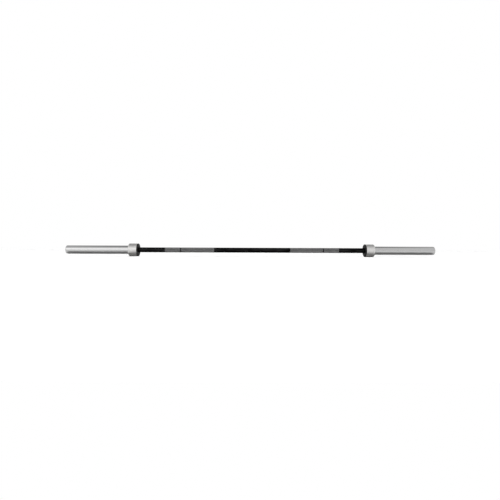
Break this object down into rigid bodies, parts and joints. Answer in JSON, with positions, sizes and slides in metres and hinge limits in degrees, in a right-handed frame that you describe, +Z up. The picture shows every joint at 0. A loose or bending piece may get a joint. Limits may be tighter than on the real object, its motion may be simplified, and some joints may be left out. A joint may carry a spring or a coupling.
{
  "type": "deadlift bar",
  "caption": "Long, thin steel bar with knurled grips and a rotating plate sleeve with a wide collar on each end.",
  "frame": {"origin": "the middle of the bar, on its axis", "axes": "+X along the bar towards the right sleeve, +Z up, the picture looks along +Y"},
  "size_m": [2.134, 0.074, 0.074],
  "materials": {
    "black_steel": "black oxide on the plain shaft, worn grey on the crests of the knurled grips",
    "chrome": "bright chrome over turned steel",
    "satin_chrome": "satin, turned round the collar",
    "black_nylon": "moulded black nylon, fine texture",
    "black_rubber": "matt rubber",
    "bronze": "oil-filled sintered bronze",
    "ground_steel": "ground flat on both faces",
    "spring_steel": "phosphated spring steel",
    "turned_aluminium": "faced on a lathe, clear anodised"
  },
  "bodies": {
    "shaft": {"shaft": "black_steel", "left_inner_washer": "ground_steel", "left_outer_washer": "ground_steel", "left_shaft_ring": "spring_steel", "right_inner_washer": "ground_steel", "right_outer_washer": "ground_steel", "right_shaft_ring": "spring_steel"},
    "left_sleeve": {"left_sleeve": "chrome", "left_collar": "satin_chrome", "left_inner_cover": "black_nylon", "left_shaft_seal": "black_rubber", "left_inner_bush": "bronze", "left_outer_bush": "bronze", "left_end_cap": "turned_aluminium", "left_cap_ring": "spring_steel"},
    "right_sleeve": {"right_sleeve": "chrome", "right_collar": "satin_chrome", "right_inner_cover": "black_nylon", "right_shaft_seal": "black_rubber", "right_inner_bush": "bronze", "right_outer_bush": "bronze", "right_end_cap": "turned_aluminium", "right_cap_ring": "spring_steel"}
  },
  "joints": [
    {"name": "left_sleeve_spin", "type": "hinge", "parent": "shaft", "child": "left_sleeve", "pos_m": [-0.862, 0, 0], "axis": [1, 0, 0], "continuous": true},
    {"name": "right_sleeve_spin", "type": "hinge", "parent": "shaft", "child": "right_sleeve", "pos_m": [0.862, 0, 0], "axis": [1, 0, 0], "continuous": true}
  ]
}
